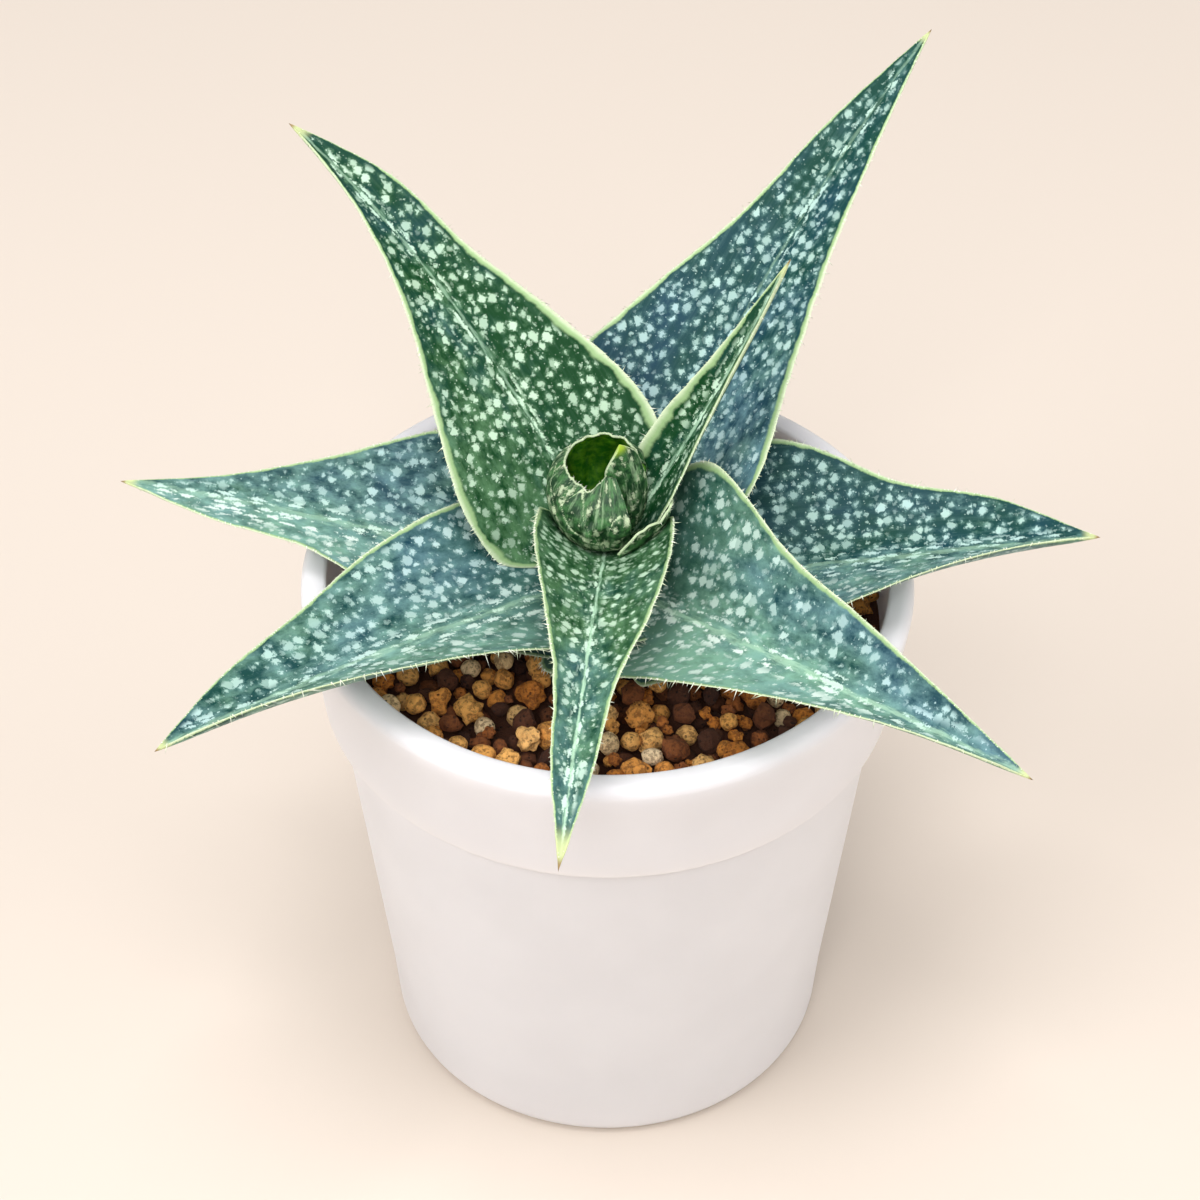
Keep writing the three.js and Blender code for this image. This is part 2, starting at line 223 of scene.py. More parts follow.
# Fleshy aloe leaf with a waxy skin: satin gloss, whitish flecks of corky tissue, pale horny margin.
def leafMaterial(name, tones):
    material, shader, node = newMaterial(name)
    place, shape, tone = [node("Attribute", {}, "Vector", attribute_name=name)
                          for name in ("bladePlace", "bladeShape", "bladeToneAndLight")]
    margin = node("Attribute", {}, "Fac", attribute_name="bladeMargin")
    fromRoot = node("SeparateXYZ", {0: place}, 1)
    fromRib, fromEdge, fromTip = node("SeparateXYZ", {0: shape}, None)
    # light holds the skin's own tone together with painted light and shade
    rib, bloom, light = node("SeparateXYZ", {0: tone}, None)
    longer = {k: node("VectorMath", {0: place, 1: (1, k, 1)}, **times) for k in (0.07, 0.16, 0.5)}

    # ground colour: green or slate blue, dark or light, in soft patches, with fine parallel veins; how
    # light it is holds the skin's own tone and painted light and shade
    patches = node("TexNoise", {"Vector": longer[0.5], "Scale": 1 / 7, "Detail": 3, "Roughness": 0.6})
    patches = node("Math", {0: patches, 1: 0.5}, **minus)
    bloomShare = node("Math", {0: patches, 1: 2.4, 2: bloom}, **timesPlus, use_clamp=True)
    clouds = node("TexNoise", {"Vector": longer[0.5], "Scale": 1 / 2.4, "Detail": 5, "Roughness": 0.66})
    clouds = node("Math", {0: clouds, 1: 0.52}, **minus)
    lightShare = node("Math", {0: clouds, 1: tones["contrast"], 2: light}, **timesPlus, use_clamp=True)
    green, blue = [node("Mix", {0: lightShare, 6: tones[name], 7: tones[name + "Light"]},
                        2, **mix) for name in ("green", "blue")]
    ground = node("Mix", {0: bloomShare, 6: green, 7: blue}, 2, **mix)
    veins = node("TexNoise", {"Vector": longer[0.07], "Scale": 1 / 0.8, "Detail": 3, "Roughness": 0.6})
    veinShade = node("MapRange", {0: veins, 1: 0.45, 2: 0.75, 4: 0.1}, **soft)
    ground = node("Mix", {0: veinShade, 6: ground, 7: tones["vein"]}, 2, **mix)

    # painted shade: darker in the heart of the plant, where the leaves above shade the roots
    shaded = node("MapRange", {0: fromRoot, 1: 27, 2: 7, 4: tones["rootShade"]}, **soft)
    ground = node("Mix", {0: shaded, 6: ground, 7: tones["green"]}, 2, **mix)

    # flecks in two sizes and bright specks, which run lengthwise at the midrib, with soft haloes
    bend = node("TexNoise", {"Vector": place, "Scale": 1 / 1.4, "Detail": 2}, "Color")
    bend = node("VectorMath", {0: bend, 1: (0.5, 0.5, 0.5)}, **minus)
    bend = node("VectorMath", {0: bend, 1: (1, 1, 0)}, **times)
    bent = node("VectorMath", {0: place, 1: bend}, **plus)
    longFleck = node("VectorMath", {0: bent, 1: (1, 0.85, 1)}, **times)
    longStreak = node("VectorMath", {0: bent, 1: (1.25, 0.36, 1)}, **times)
    crumb = node("TexNoise", {"Vector": place, "Scale": 1 / 0.5, "Detail": 4, "Roughness": 0.78})
    grain = node("Math", {0: crumb, 1: 0.5}, **minus)
    grain = node("Math", {0: grain, 1: 1.9}, **times)
    big = spotLayer(node, longFleck, 2.0, tones["bigFlecks"], grain, 0.9)
    small = spotLayer(node, longFleck, 1.3, tones["smallFlecks"], grain)
    speck, _ = spotLayer(node, place, 0.8, (-0.34, 0.15), 0.0)
    streak, _ = spotLayer(node, longStreak, 1.2, (0.0, 0.62), grain)
    shown = []
    for layer, outermost, strengths in ((big, -0.14, (0.55, 1.0)), (small, -0.12, (0.2, 0.75))):
        show = node("MapRange", {0: layer[0], 1: outermost, 2: 0.18}, **soft)
        strength = node("MapRange", {0: layer[1], 3: strengths[0], 4: strengths[1]})
        shown.append(node("Math", {0: show, 1: strength}, **times))
    spots = node("Math", {0: shown[0], 1: shown[1]}, **larger)
    offRib = node("MapRange", {0: fromRib, 1: 0.8, 2: 2.4}, **soft)
    spots = node("Math", {0: spots, 1: offRib}, **times)
    nearRib = node("MapRange", {0: fromRib, 1: 2.8, 2: 1.2}, **soft)
    streakShow = node("MapRange", {0: streak, 1: -0.08, 2: 0.18}, **soft)
    streakShow = node("Math", {0: streakShow, 1: nearRib}, **times)
    specks = node("MapRange", {0: speck, 1: -0.02, 2: 0.08, 4: 0.8}, **soft)
    for more in (streakShow, specks):
        spots = node("Math", {0: spots, 1: more}, **larger)
    insideMargin = node("Math", {0: fromEdge, 1: margin}, **minus)
    inside = node("MapRange", {0: insideMargin, 1: 0.1, 2: 0.9}, **soft)
    offRoot = node("MapRange", {0: fromRoot, 1: -4, 2: 22, 3: 0.55}, **soft)
    inside = node("Math", {0: inside, 1: offRoot}, **times)
    flecks = node("Math", {0: spots, 1: inside}, **times)
    halo = node("MapRange", {0: big[0], 1: -0.75, 2: 0.1, 4: tones["halo"]}, **soft)
    halo = node("Math", {0: halo, 1: inside}, **times)
    skin = node("Mix", {0: halo, 6: ground, 7: tones["under"]}, 2, **mix)
    fleckTone = node("Mix", {0: bloomShare, 6: tones["fleckGreen"], 7: tones["fleckBlue"]}, 2, **mix)
    # flecks painted whiter where the skin is painted lit
    whiter = node("MapRange", {0: light, 1: 0.25, 2: 0.9}, **soft)
    fleckTone = node("Mix", {0: whiter, 6: fleckTone, 7: tones["fleckLight"]}, 2, **mix)
    skin = node("Mix", {0: flecks, 6: skin, 7: fleckTone}, 2, **mix)

    # broken pale line over the midrib
    broken = node("TexNoise", {"Vector": longer[0.16], "Scale": 1 / 0.7, "Detail": 4, "Roughness": 0.7})
    broken = node("Math", {0: broken, 1: 3.2, 2: fromRib}, **timesPlus)
    onRib = node("MapRange", {0: broken, 1: 2.3, 2: 1.5}, **soft)
    onRib = node("Math", {0: onRib, 1: rib}, **times)
    skin = node("Mix", {0: onRib, 6: skin, 7: tones["ribLine"]}, 2, **mix)

    # horny margin, cream outside and light green inside, wider in places
    lengthwise = node("VectorMath", {0: place, 1: (0.05, 1, 1)}, **times)
    waver = node("TexNoise", {"Vector": lengthwise, "Scale": 1 / 6, "Detail": 3, "Roughness": 0.6})
    waver = node("MapRange", {0: waver, 1: 0.3, 2: 0.7, 3: 0.6, 4: 1.3})
    width = node("Math", {0: margin, 1: waver}, **times)
    rim = node("Math", {0: grain, 1: 0.22, 2: fromEdge}, **timesPlus)
    rim = node("Math", {0: rim, 1: width}, operation="DIVIDE")
    inward = node("MapRange", {0: rim, 1: 0.05, 2: 0.75}, **soft)
    horn = node("Mix", {0: inward, 6: tones["edge"], 7: tones["edgeInner"]}, 2, **mix)
    onMargin = node("MapRange", {0: rim, 1: 1.25, 2: 0.75}, **soft)
    skin = node("Mix", {0: onMargin, 6: skin, 7: horn}, 2, **mix)

    # the point dries from yellow-green to brown
    drying = node("MapRange", {0: fromTip, 1: 1.0, 2: 0.45, 4: 0.85}, **soft)
    skin = node("Mix", {0: drying, 6: skin, 7: tones["tip"]}, 2, **mix)
    dried = node("MapRange", {0: fromTip, 1: 0.35, 2: 0.1, 4: 0.9}, **soft)
    skin = node("Mix", {0: dried, 6: skin, 7: tones["spine"]}, 2, **mix)

    height = node("Math", {0: crumb, 1: 0.6, 2: veinShade}, **timesPlus)
    bump = node("Bump", {"Height": height, "Distance": 0.12 * mm, "Strength": 0.8})
    gloss = node("MapRange", {0: flecks, 3: 0.42, 4: 0.6})
    setInputs(material, shader, {"Base Color": skin, "Roughness": gloss, "Normal": bump,
                                 "Specular IOR Level": 0.12})
    return material


# Camera and light: a long lens looking down at the plant, daylight through a big window at the left.

view = dict(lens=100, sensor=36, place=(-1.1, -357.6, 423.1), tilt=46.5)
bpy.ops.object.camera_add(location=[v * mm for v in view["place"]],
                          rotation=(math.radians(view["tilt"]), 0, 0))
camera = bpy.context.object
camera.data.lens = view["lens"]
camera.data.sensor_width = view["sensor"]
camera.data.clip_start = 0.01
bpy.context.scene.camera = camera
bpy.context.scene.view_settings.view_transform = "Standard"


def addSoftbox(name, place, size, watts, tint="#fdfcff"):
    bpy.ops.object.light_add(type="AREA", location=place)
    lamp = bpy.context.object
    lamp.name = name
    lamp.data.shape = "DISK"
    lamp.data.size = size
    lamp.data.energy = watts
    lamp.data.color = colour(tint)[:3]
    aim = Vector((0, 0, 0.08)) - lamp.location
    lamp.rotation_euler = aim.to_track_quat("-Z", "Y").to_euler()


addSoftbox("window", (-0.75, -0.4, 0.75), 0.8, 5.2)
addSoftbox("skylight", (-0.05, -0.1, 1.2), 0.5, 7.4)
addSoftbox("front", (-0.1, -0.8, 0.95), 0.4, 3.9)
addSoftbox("card", (0.75, -0.3, 0.6), 0.9, 3.2)
world = bpy.data.worlds.new("bright room")
world.use_nodes = True
world.node_tree.nodes["Background"].inputs[0].default_value = colour("#f6f6f8")
world.node_tree.nodes["Background"].inputs[1].default_value = 0.55
bpy.context.scene.world = world

floor = add(bpy.ops.mesh.primitive_plane_add, size=6)
floor.name = "floor"
floorPaint, floorShader, _ = newMaterial("matt painted board")
setInputs(floorPaint, floorShader, {"Base Color": "#d6cabc", "Roughness": 0.85})
floor.data.materials.append(floorPaint)


# Pot: white polypropylene, injection moulded

# soilLine: inside radius and height where the soil meets the wall. cavityBevel: width and height.
pot = dict(
    sides=160, height=90, rim=45, rimInner=41.2, lip=1.8, lipInner=0.6,
    collarFoot=70, collarFootRadius=42.9, collarRise=1.4, collarRound=0.6, stepRound=0.5,
    bodyTop=40.7, bodyFoot=5, base=34.2, baseEdge=2.5, soilLine=(40.8, 81.6), wall=2,
    floor=3, cavityFoot=30.6, cavityBevel=(2.2, 3), footRing=29, pad=12, recess=1.2,
    holes=6, holeRadius=4, holeRing=20.5, drill=12,
)


# Points of an arc in the pot's section, as (radius, height).
def arc(centre, radius, fromAngle, toAngle, steps):
    angles = [math.radians(between((fromAngle, toAngle), step / steps)) for step in range(steps + 1)]
    return [(centre[0] + radius * math.cos(turn), centre[1] + radius * math.sin(turn)) for turn in angles]


# Points up a straight wall, without its foot.
def slant(radii, heights, steps):
    return [(between(radii, k / steps), between(heights, k / steps)) for k in range(1, steps + 1)]


def potSection():
    collarFoot = pot["collarFoot"]
    collarTop = pot["height"] - pot["lip"]
    collarRound, stepRound, lipInner = pot["collarRound"], pot["stepRound"], pot["lipInner"]
    section = [(pot["pad"], 0), (pot["pad"] + pot["recess"], pot["recess"])]
    section += [(pot["footRing"] - pot["recess"], pot["recess"]), (pot["footRing"], 0)]
    section += arc((pot["base"] - pot["baseEdge"], pot["baseEdge"]), pot["baseEdge"], -90, -4, 8)
    section += slant((pot["base"], pot["bodyTop"]), (pot["bodyFoot"], collarFoot - pot["collarRise"]), 10)
    section += arc((pot["bodyTop"] + stepRound, collarFoot - stepRound), stepRound, 180, 95, 4)
    collarEdge = pot["collarFootRadius"]
    section += arc((collarEdge - collarRound, collarFoot + collarRound), collarRound, -80, -5, 5)
    section += slant((collarEdge, pot["rim"]), (collarFoot + pot["collarRise"], collarTop), 6)[:-1]
    section += arc((pot["rim"] - pot["lip"], collarTop), pot["lip"], 0, 90, 8)
    section += arc((pot["rimInner"] + lipInner, pot["height"] - lipInner), lipInner, 90, 180, 7)
    section += [pot["soilLine"], (pot["bodyTop"] - pot["wall"], collarFoot - 1)]
    section += [(pot["cavityFoot"] + pot["cavityBevel"][0], pot["floor"] + pot["cavityBevel"][1])]
    section += [(pot["cavityFoot"], pot["floor"])]
    return section


# Moulded polypropylene: even white, satin, a little translucent, with a faint orange-peel skin.
def plasticMaterial():
    material, shader, node = newMaterial("polypropylene, moulded")
    place = node("TexCoord", {}, "Object")
    clouds = node("TexNoise", {"Vector": place, "Scale": 1 / (18 * mm)})
    share = node("MapRange", {0: clouds, 1: 0.3, 2: 0.7}, **soft)
    skin = node("Mix", {0: share, 6: "#dddbdc", 7: "#e1dfe0"}, 2, **mix)
    peel = node("TexNoise", {"Vector": place, "Scale": 1 / (0.7 * mm)})
    bump = node("Bump", {"Height": peel, "Distance": 0.01 * mm, "Strength": 0.5})
    gloss = node("MapRange", {0: clouds, 3: 0.34, 4: 0.46})
    setInputs(material, shader, {"Base Color": skin, "Roughness": gloss, "Normal": bump, "IOR": 1.49,
                                 "Subsurface Weight": 0.7, "Subsurface Radius": (1, 0.97, 0.94),
                                 "Subsurface Scale": 5 * mm})
    return material


def makePot():
    piece = turned(potSection(), pot["sides"])
    spots = [around(pot["holeRing"], 360 * k / pot["holes"]) for k in range(pot["holes"])]
    drillHoles(piece, spots, pot["holeRadius"], pot["drill"])
    smooth(piece, 35)
    finishPiece(piece, "pot_moulded", [plasticMaterial()], ["pot"])


makePot()


# Growing medium: a dark bed and loose grains on it

soil = dict(
    bedTop=80.2, topRadius=40.4, foot=3.4, footRadius=30.0, sides=96, bedTone=0.1,
    stemHole=4.8, stemHoleFoot=65.7, drill=30, field=40.3, seed=11,
    # how far a grain lies above or below its layer, how close two lie, and how flat or long one is
    uneven=0.45, nesting=0.88, squash=(0.85, 1.12),
    # one layer after another: tries, height of the grains' middles, kinds
    layers=[
        (1500, 83.2, ("ball", "pumice", "pale", "small", "chip")),
        (3600, 82.0, ("chip", "small", "ball")),
        (3600, 80.9, ("chip",)),
    ],
    # share, radius range, tone range
    kinds=dict(
        ball=(0.34, (1.3, 1.9), (0.45, 0.8)), pumice=(0.36, (1.4, 2.1), (0.4, 0.66)),
        pale=(0.07, (1.4, 1.9), (0.86, 1.0)), chip=(0.24, (1.2, 2.1), (0.0, 0.3)),
        small=(0.14, (0.7, 1.2), (0.25, 0.6)),
    ),
)


# Bark, pumice and fired clay grit: dull and porous, each grain with its own tone.
def gritMaterial(name):
    material, shader, node = newMaterial(name)
    place = node("TexCoord", {}, "Object")
    tone = node("Attribute", {}, "Fac", attribute_name="grainTone")
    plain = node("ValToRGB", {"Fac": tone})
    ramp = plain.node.color_ramp
    stops = [(0.0, "#32180b"), (0.2, "#5a3118"), (0.34, "#9a5826"), (0.46, "#d6842e"), (0.6, "#f4b45e"),
             (0.72, "#f4cf92"), (0.84, "#f2dcb8"), (0.88, "#c9b9a4"), (1.0, "#ece2d4")]
    while len(ramp.elements) < len(stops):
        ramp.elements.new(0.5)
    for element, (spot, text) in zip(ramp.elements, stops):
        element.position = spot
        element.color = colour(text)
    mottle = node("TexNoise", {"Vector": place, "Scale": 1 / (0.9 * mm), "Detail": 5, "Roughness": 0.7})
    dark = node("Mix", {0: 0.6, 6: plain, 7: "#4a240c"}, 2, **mix)
    share = node("MapRange", {0: mottle, 1: 0.52, 2: 0.4}, **soft)
    skin = node("Mix", {0: share, 6: plain, 7: dark}, 2, **mix)
    pits = node("TexVoronoi", {"Vector": place, "Scale": 1 / (0.8 * mm)})
    pits = node("MapRange", {0: pits, 1: 0.34, 2: 0.12}, **soft)
    pitted = node("MapRange", {0: mottle, 1: 0.45, 2: 0.6}, **soft)
    pitted = node("Math", {0: pitted, 1: pits}, **times)
    pitShade = node("Math", {0: pitted, 1: 0.7}, **times)
    skin = node("Mix", {0: pitShade, 6: skin, 7: "#20110a"}, 2, **mix)
    height = node("Math", {0: mottle, 1: pitted}, **minus)
    bump = node("Bump", {"Height": height, "Distance": 0.6 * mm, "Strength": 1.0})
    setInputs(material, shader, {"Base Color": skin, "Roughness": 0.88, "Normal": bump})
    return material


def makeBed():
    depth = soil["bedTop"] - soil["foot"]
    bed = add(bpy.ops.mesh.primitive_cone_add, vertices=soil["sides"], radius1=soil["footRadius"] * mm,
              radius2=soil["topRadius"] * mm, depth=depth * mm,
              location=(0, 0, (soil["foot"] + depth / 2) * mm))
    middle = around(0, 0, soil["stemHoleFoot"] + soil["drill"] / 2)
    drillHoles(bed, [middle], soil["stemHole"], soil["drill"])
    setAttribute(bed.data, "grainTone", "FLOAT", [soil["bedTone"]] * len(bed.data.vertices))
    return bed


# One grain, modelled once: a ball that is lumpy, dented or broken flat at this share of its radius.
def grainPattern(name, subdivisions, lump, lumpSize, seed, flats=0, flatAt=0.72):
    ball = add(bpy.ops.mesh.primitive_ico_sphere_add, subdivisions=subdivisions, radius=1)
    draw = random.Random(seed)
    cuts = [Vector([draw.uniform(-1, 1) for _ in range(3)]).normalized() for _ in range(flats)]
    for vertex in ball.data.vertices:
        out = vertex.co.normalized()
        reach = 1 + lump * wobble(*(out / lumpSize + Vector((seed * 7.3, 0, 0))))
        for cut in cuts:
            reach = min(reach, flatAt / max(out.dot(cut), 0.01))
        vertex.co = out * reach
    smooth(ball, 40 if flats else 180)
    mesh = ball.data
    bpy.data.objects.remove(ball)
    mesh.name = name
    return mesh


def makeGrains():
    patterns = {
        "ball": [grainPattern("clay ball", 3, 0.16, 0.9, 1), grainPattern("clay ball", 3, 0.28, 0.8, 2)],
        "pumice": [grainPattern("pumice", 3, 0.5, 0.62, 3, 1), grainPattern("pumice", 3, 0.5, 0.45, 4)],
        "chip": [grainPattern("bark chip", 2, 0.5, 0.8, k, 4) for k in (5, 6, 7)],
    }
    patterns["pale"] = patterns["ball"]
    patterns["small"] = patterns["pumice"]
    draw = random.Random(soil["seed"])
    placed = []
    copies = []
    for tries, level, names in soil["layers"]:
        for _ in range(tries):
            kind = draw.choices(names, [soil["kinds"][name][0] for name in names])[0]
            radii, tones = soil["kinds"][kind][1:]
            radius = draw.uniform(*radii)
            reach = (soil["field"] - radius) * math.sqrt(draw.random())
            angle = draw.uniform(0, 360)
            spot = around(reach, angle, level + draw.uniform(-soil["uneven"], soil["uneven"]))
            if reach < soil["stemHole"] + radius:
                continue
            if any((spot - other).length < soil["nesting"] * (radius + size) for other, size in placed):
                continue
            placed.append((spot, radius))
            axis = Vector([draw.uniform(-1, 1) for _ in range(3)]).normalized()
            turn = Matrix.Rotation(draw.uniform(0, 2 * math.pi), 4, axis)
            size = Matrix.Diagonal([radius * mm * draw.uniform(*soil["squash"]) for _ in range(3)] + [1])
            place = Matrix.Translation(spot * mm) @ turn @ size
            copies.append((draw.choice(patterns[kind]), place, draw.uniform(*tones)))
    print("grains", len(copies))
    return gather("soil_grains", copies, "grainTone")


grit = gritMaterial("bark, pumice and fired clay grit")
finishPiece(makeBed(), "soil_bed", [grit], ["soil"])
grains = makeGrains()
smooth(grains)
finishPiece(grains, "soil_grains", [grit])


# Leaves: long tapering blades, hollow above and rounded below, round one short stem

# toneReach: share of the length where a tone is the tip's. toneBlend: width of the change over the midrib.
# ruffle: height and length of each wave of the edge. apart: step between two leaves' markings.
blade = dict(
    tuck=0.035, channelPower=1.6, edge=0.9, edgeRound=0.6, edgePower=12, bodyPower=1.7,
    tipTaper=0.06, rootThin=0.3, flattest=0.05, columns=64, stations=120,
    margin=0.5, underMargin=0.45, tipMargin=0.35, marginTaper=1.6, hornReach=0.85,
    toneReach=0.8, toneBlend=0.625, ruffle=((0.16, 4), (0.09, 1.3)), rufflePower=6, apart=60,
)
# root: distance from the stem's middle. rounding: share of the length that the round root takes.
# bearing: angle from +X. height: midrib at the stem. rise: slope at the root and at the tip.
# swing: turn of the bearing along the leaf. twist: roll about the midrib at root and tip.
# channel: depth of the upper face against its half width, at root and tip. body: thickness of the flesh.
# right and left: width on each side of the midrib, seen from the root, at the root and at each fifth of
# the length after it. tone: which of the two skins. rib: strength of the pale midrib line.
# bloom and light: how blue and how light the skin is, at root and tip, on the right half and then on the
# left; light is partly the skin's own tone and partly painted light, shade and sky sheen: lighter where
# the leaf faces the sky, darker where other leaves shade it. scale: size of the leaf's markings. point:
# length of the dried point.
# Pairs for the right and the left half. ribZone: reach of the midrib's streaks. stretch: how much wider
# the markings are. horn: extra width of the margin at the root. hair: length of the teeth.
plainLeaf = dict(
    root=3.5, rounding=0.06, body=3.2, tone="blue", ribZone=(1, 1), hair=(0.5, 0.5),
    scale=1, stretch=(1, 1), point=3,
)
leaves = {
    "leaf_inner_narrow": dict(
        bearing=24, height=97.2, length=47.3, rise=(55, 62), swing=6, twist=(14.5, 0.5),
        channel=(0.65, 0.5), body=1.8,
        right=[6.2, 5.6, 3, 1.3, 0.7], left=[3.8, 4.7, 4.5, 3, 1.6],
        tone="green", bloom=((0, 0.2), (0, 0.2)), light=((-0.35, -0.15), (-0.35, -0.15)),
        rib=0.6, ribZone=(0.6, 0.6), horn=(0.2, 1.3), scale=0.75, point=4,
    ),
    "leaf_front": dict(
        bearing=266.3, height=97.5, length=69.5, rise=(29, -20.5), swing=-3.2, twist=(-1, -6.5),
        channel=(0.6, 0.35), rounding=0.04,
        right=[9.9, 9.8, 7.1, 4.1, 2.8], left=[9.5, 9.8, 8.2, 4.4, 2.8],
        tone="green", bloom=((-0.35, 0.75), (-0.35, 0.7)), light=((0.25, 0.5), (0.25, 0.5)),
        rib=0.75, ribZone=(0.5, 0.5), horn=(0.1, 0.1), scale=0.8, point=7,
    ),
    "leaf_back_left": dict(
        bearing=129.8, height=95, length=74.4, rise=(46.8, 29.4), swing=17.7, twist=(-20.5, 4),
        channel=(0.1, 0.35), rounding=0.08,
        right=[13.7, 16.1, 12, 7.3, 5.3], left=[14.2, 16, 12.6, 7.2, 2.7],
        tone="green", bloom=((-0.5, 0.5), (-0.3, 0.5)), light=((-0.4, -0.15), (0.5, -0.15)),
        rib=0.4, ribZone=(0.55, 0.55), horn=(1.4, 0.9), hair=(0.7, 0.7), scale=0.84, point=4,
    ),
    "leaf_front_left": dict(
        bearing=216.8, height=89.8, length=74, rise=(13.4, 2.5), swing=0.6, twist=(-7, 24),
        channel=(0.25, 0.55), body=2,
        right=[16.1, 18, 15.5, 10.5, 6.2], left=[16.7, 18.1, 13.7, 10.7, 4.7],
        bloom=((0.9, 0.15), (0.25, 0)), light=((0.55, 0.2), (0.9, 0.4)),
        rib=0.4, ribZone=(1, 2.2), stretch=(1, 1.4), horn=(0.2, 0.1), hair=(0.35, 1.7),
    ),
    "leaf_front_right": dict(
        bearing=304.7, height=88.7, length=79, rise=(24.7, 0.2), swing=20, twist=(30.5, -4),
        channel=(0.37, 0.68), rounding=0.18,
        right=[20.9, 17.8, 13, 8, 3.1], left=[23.6, 19.3, 12.6, 8.6, 4.4],
        bloom=((0, 0.3), (-0.35, 0.9)), light=((1.5, 0.5), (0.6, 0.3)),
        rib=0.5, ribZone=(1.6, 1), stretch=(1.4, 1), horn=(0.2, 0.5), hair=(0.9, 0.35),
    ),
    "leaf_back_right": dict(
        bearing=59.2, height=89.1, length=91.3, rise=(38, 38.2), swing=-18.4, twist=(-5, 2.5),
        channel=(0.45, 0.08),
        right=[11.2, 18, 14, 8.8, 4.3], left=[14.9, 20.6, 15.2, 8.5, 4.8],
        bloom=((1.2, 0.1), (1.3, -0.15)), light=((0.75, -0.4), (-0.35, -0.6)),
        rib=0.25, ribZone=(0.5, 0.5), scale=0.84, horn=(1, 0.3), hair=(0.6, 0.6),
    ),
    "leaf_left": dict(
        bearing=168.4, height=86.6, length=69.8, rise=(11, 10), swing=8.6, twist=(-18.8, -0.5),
        channel=(0.45, 0.22),
        right=[16.2, 20, 16.2, 9.5, 3.8], left=[16.3, 18.4, 14.5, 7.8, 5.7],
        bloom=((0.6, 0.35), (0.5, 0.2)), light=((0.2, 0.35), (0.9, 0.75)),
        rib=0.3, ribZone=(1, 2.2), horn=(0.1, 0.1), scale=0.9, stretch=(1, 1.2),
    ),
    "leaf_right": dict(
        bearing=0.2, height=85.9, length=69, rise=(11, 14.6), swing=-8.5, twist=(24.5, -20.5),
        channel=(0.44, 0.5), body=2,
        right=[18.5, 19.4, 17.2, 12.8, 6.8], left=[16.8, 19, 17.6, 11, 7.5],
        bloom=((0.5, 0.35), (0.5, 0.3)), light=((1, 0.45), (-0.6, 0)),
        rib=0.35, ribZone=(2.2, 0.9), horn=(0.2, 0.2), hair=(0.8, 0.8), scale=0.8, stretch=(1.3, 1),
    ),
}


# Direction of the midrib, and the blade's side and face directions, at a share of the length.
def leafAxes(leaf, share):
    rise = math.radians(between(leaf["rise"], share))
    bearing = leaf["bearing"] + leaf["swing"] * share
    roll = math.radians(between(leaf["twist"], share))
    along = around(math.cos(rise), bearing, math.sin(rise))
    level = around(1, bearing + 90)
    upright = along.cross(level)
    side = level * math.cos(roll) + upright * math.sin(roll)
    face = upright * math.cos(roll) - level * math.sin(roll)
    return along, side, face


def midrib(leaf, share, steps=60):
    point = around(leaf["root"], leaf["bearing"], leaf["height"])
    for step in range(steps):
        point += leafAxes(leaf, share * (step + 0.5) / steps)[0] * (leaf["length"] * share / steps)
    return point


# Width on a smooth line through evenly spaced widths, which ends in a point at position 1.
def widthAt(widths, position):
    count = len(widths)
    knots = [widths[0], *widths, 0, -widths[-1]]
    step = min(count - 1, int(position * count))
    t = position * count - step
    a, b, c, d = knots[step:step + 4]
    return b + 0.5 * t * (c - a + t * (2 * a - 5 * b + 4 * c - d + t * (3 * (b - c) + d - a)))


# The blade's section at a position from 0 at the tucked root to 1 at the tip.
def leafSection(leaf, position):
    share = position * (1 + blade["tuck"]) - blade["tuck"]
    inRoot = min(1, position / leaf["rounding"])
    rounded = math.sqrt(max(0, 1 - (1 - inRoot) ** 2))
    pointed = min(1, math.sqrt(max(0, 1 - share) / blade["tipTaper"]))
    along, side, face = leafAxes(leaf, share)
    return {
        "share": share, "middle": midrib(leaf, share), "along": along, "side": side, "face": face,
        "right": rounded * widthAt(leaf["right"], position),
        "left": rounded * widthAt(leaf["left"], position),
        "channel": max(blade["flattest"], between(leaf["channel"], share)),
        "thin": pointed * min(1, blade["rootThin"] + rounded),
        "body": leaf["body"] * max(0, 1 - share),
    }


# A point of the skin. Column runs from -1 at the right edge to 1 at the left.
def skinPoint(section, column, under):
    width = section["right"] if column < 0 else section["left"]
    lift = width * section["channel"] * abs(column) ** blade["channelPower"] - blade["edge"] / 2
    depth = blade["edgeRound"] / 2 * math.sqrt(max(0, 1 - abs(column) ** blade["edgePower"]))
    if under:
        depth = -depth - section["body"] * (1 - column ** 2) ** blade["bodyPower"]
    lift += depth * section["thin"]
    return section["middle"] + section["side"] * width * column + section["face"] * lift


# A value given for the root and the tip of the right half and of the left half.
def toneAndLightAt(ends, share, column):
    halves = [between(end, min(1, max(0, share) / blade["toneReach"])) for end in ends]
    return between(halves, min(1, max(0, column / blade["toneBlend"] + 0.5)))


